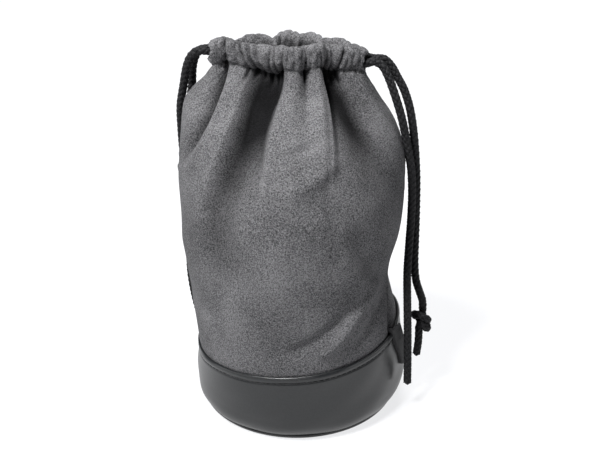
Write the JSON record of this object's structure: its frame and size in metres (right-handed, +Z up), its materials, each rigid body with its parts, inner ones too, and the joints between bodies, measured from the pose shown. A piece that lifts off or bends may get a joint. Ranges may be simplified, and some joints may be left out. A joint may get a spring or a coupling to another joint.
{
  "type": "drawstring lens pouch",
  "caption": "Soft round lens pouch: gathered suede wall with a lining, leatherette base band, two braided drawcords with knots and a blank woven side tab.",
  "frame": {"origin": "centre of the base panel's underside, on the table", "axes": "+Z up through the mouth, -Y towards the front panel, +X towards the side seam with the woven tab"},
  "size_m": [0.1391, 0.1204, 0.2093],
  "materials": {
    "suede": "matt napped suede",
    "leatherette": "satin grain",
    "lining": "matt weave",
    "cord": "braided, matt",
    "board": "matt",
    "foam": "matt",
    "tab": "fine weave"
  },
  "bodies": {
    "pouch": {"base_panel": "leatherette", "base_welt": "leatherette", "base_board": "board", "base_pad": "foam", "lining_floor": "lining", "band_front": "leatherette", "band_back": "leatherette", "front_panel": "suede", "back_panel": "suede", "lining_front": "lining", "lining_back": "lining", "right_cord_loop": "cord", "left_cord_loop": "cord"},
    "front_mouth": {"front_hem": "suede"},
    "back_mouth": {"back_hem": "suede"},
    "right_cord": {"right_exit_outer": "cord", "right_exit_inner": "cord"},
    "right_strands": {"right_tail_outer": "cord", "right_tail_inner": "cord", "right_knot": "cord"},
    "left_cord": {"left_exit_outer": "cord", "left_exit_inner": "cord"},
    "left_strands": {"left_tail_outer": "cord", "left_tail_inner": "cord", "left_knot": "cord"},
    "tab": {"side_tab": "tab"}
  },
  "joints": [
    {"name": "front_hem_draw", "type": "slide", "parent": "pouch", "child": "front_mouth", "axis": [0, 1, 0], "range_m": [0, 0.0095], "deforming": ["front_hem", "back_hem", "right_cord_loop", "left_cord_loop"]},
    {"name": "back_hem_draw", "type": "slide", "parent": "pouch", "child": "back_mouth", "axis": [0, -1, 0], "range_m": [0, 0.0095]},
    {"name": "right_cord_pull", "type": "slide", "parent": "pouch", "child": "right_cord", "axis": [1, 0, 0], "range_m": [0, 0.0087]},
    {"name": "left_cord_pull", "type": "slide", "parent": "pouch", "child": "left_cord", "axis": [-1, 0, 0], "range_m": [0, 0.0087]},
    {"name": "right_strands_swing", "type": "hinge", "parent": "right_cord", "child": "right_strands", "pos_m": [0.0425, 0, 0.19615], "axis": [0, -1, 0], "range_deg": [0, 100]},
    {"name": "left_strands_swing", "type": "hinge", "parent": "left_cord", "child": "left_strands", "pos_m": [-0.0425, 0, 0.20345], "axis": [0, 1, 0], "range_deg": [0, 100]},
    {"name": "tab_bend", "type": "hinge", "parent": "pouch", "child": "tab", "pos_m": [0.05532, -0.02358, 0.038], "axis": [-0.2251, -0.2961, 0.9283], "range_deg": [-10, 28]}
  ],
  "couplings": [
    {"joint": "back_hem_draw", "follows": "front_hem_draw", "ratio": 1},
    {"joint": "right_cord_pull", "follows": "front_hem_draw", "ratio": 0.9},
    {"joint": "left_cord_pull", "follows": "front_hem_draw", "ratio": 0.9}
  ]
}
